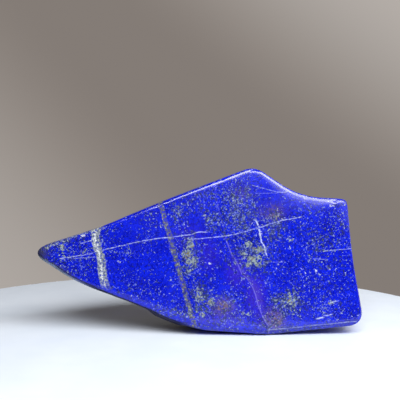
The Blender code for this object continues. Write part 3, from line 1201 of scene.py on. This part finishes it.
def painted_by_facing(points, normals):
    """Colour by which way a surface faces: painted shade under the left half, a pale painted reflection of
    the table at the point's lower edge, pale grains as painted light from above the point, and the less
    polished underside.
    """
    parts = {}
    for name, (left, way, facing) in PAINTED_BY_FACING.items():
        turned = smooth_step(way * normals[:, 2], *facing)
        parts[name] = smooth_step(-points[:, 0], *left) * turned
    # Pale grains on the upward faces near the point: painted light from above
    found = {name: share * parts["pale"] for name, share in PAINTED_TOP_LIGHT.items()}
    # Painted shade where the surface faces down under the left half and the point
    dark = np.maximum(parts["underside"], parts["under_point"])
    found["dark"] = dark * (1 - parts["painted_table_reflection"])
    # The pale painted reflection of the table at the point's lower edge
    found["painted_table_reflection"] = parts["painted_table_reflection"]
    found["matte"] = smooth_step(-normals[:, 2], *MATTE_FACING)
    return found


def add_object(name, data):
    """A new object, put in the scene."""
    made = bpy.data.objects.new(name, data)
    bpy.context.scene.collection.objects.link(made)
    return made


def stone(low, high):
    """The lapis lazuli piece, inside the box from low to high."""
    points, faces = stone_points()
    mesh = bpy.data.meshes.new("lapis_lazuli_stone")
    mesh.from_pydata(points.tolist(), [], faces)
    cut_at_table(mesh)
    points, _ = read_points(mesh)
    box = np.array([low, high]) / MM
    middle = 0.5 * (points.min(axis=0) + points.max(axis=0))
    points[:, :2] += box.mean(axis=0)[:2] - middle[:2]
    write_points(mesh, grind_bevel(points))
    points, normals = read_points(mesh)
    standing = smooth_step(points[:, 2], 0.0, STANDING)
    sunk = relief(points, normals) * standing
    points -= normals * sunk[:, None]
    points = np.clip(points, box[0], box[1])
    points[:, 2] = np.maximum(points[:, 2], 0)
    rng = np.random.default_rng(STREWN_SEED)
    # Painted shade, painted light from above and a painted reflection of the table, chosen by which way
    # the surface faces near the point
    painted_shade_and_light = painted_by_facing(points, normals)
    for name in ZONES:
        strength = blob_strength(points, zone_blobs(name, rng))
        strength = np.maximum(strength, painted_shade_and_light.get(name, 0))
        attribute = mesh.attributes.new(name, "FLOAT", "POINT")
        attribute.data.foreach_set("value", strength.astype(np.float32))
    write_points(mesh, points * MM)
    mesh.polygons.foreach_set("use_smooth", np.ones(len(mesh.polygons), bool))
    mesh.materials.append(lapis_material())
    return add_object("lapis_lazuli_stone", mesh)


def table():
    """The round pale table top the stone stands on."""
    mesh = bpy.data.meshes.new("table_top")
    solid = bmesh.new()
    bmesh.ops.create_circle(solid, cap_ends=True, segments=TABLE_SIDES, radius=TABLE_RADIUS * MM)
    solid.to_mesh(mesh)
    solid.free()
    material, n, shader = new_material("table_top")
    tone = n.spots("table_top", n.place())
    colour = n.blend(tone, *(paint(*shade, light=1.0) for shade in TABLE_COLOURS))
    n.tree.links.new(colour, shader.inputs["Base Color"])
    shader.inputs["Roughness"].default_value = TABLE_ROUGHNESS
    mesh.materials.append(material)
    piece = add_object("table_top", mesh)
    piece.location = TABLE_MIDDLE
    return piece


def room():
    """The light that comes from all around: a plain taupe wall, darker behind the viewer."""
    world = bpy.data.worlds.new("room")
    bpy.context.scene.world = world
    world.use_nodes = True
    n = Nodes(world.node_tree)
    x, y, z = n.split(n.make("TexCoord", {}).outputs["Generated"])
    lower_left = n.rise("lower_left", n.scaled(z, LOWER_LEFT_SLANT, n.times(x, -1.0)))
    upper_right = n.rise("upper_right", n.scaled(x, UPPER_RIGHT_SLANT, z))
    light = n.scaled(lower_left, WALL["lower_left"], WALL["plain"])
    light = n.scaled(upper_right, WALL["upper_right"], light)
    for name, share in (("overhead", z), ("behind_viewer", y)):
        light = n.less(light, n.times(n.rise(name, share), n.less(light, WALL[name])))
    colour = n.blend(n.rise("wall_tint", light), *WALL_TINTS)
    background = world.node_tree.nodes["Background"]
    n.tree.links.new(colour, background.inputs["Color"])
    n.tree.links.new(light, background.inputs["Strength"])


def window_light(name, place, aim, size, power, colour):
    """A soft square light at place, in metres, that shines towards aim."""
    data = bpy.data.lights.new(name, "AREA")
    data.shape = "RECTANGLE"
    data.size, data.size_y = size
    data.energy = power
    data.color = colour
    lamp = add_object(name, data)
    lamp.location = place
    way = Vector(aim) - Vector(place)
    lamp.rotation_euler = way.to_track_quat("-Z", "Y").to_euler()


def camera():
    """The photograph's view: a little above the stone's middle, looking almost level."""
    data = bpy.data.cameras.new("camera")
    data.lens = LENS
    data.sensor_width = SENSOR
    eye = add_object("camera", data)
    eye.location = CAMERA_PLACE
    eye.rotation_euler = (math.radians(90 - CAMERA_DOWN), 0.0, 0.0)
    bpy.context.scene.camera = eye


def main():
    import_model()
    camera()
    room()
    for name, settings in LAMPS.items():
        window_light(name, *settings)
    bpy.context.scene.view_settings.view_transform = "Standard"
    table()
    piece = stone(*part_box(NODE))
    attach(piece, "root")
    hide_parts(NODE)
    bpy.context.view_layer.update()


main()
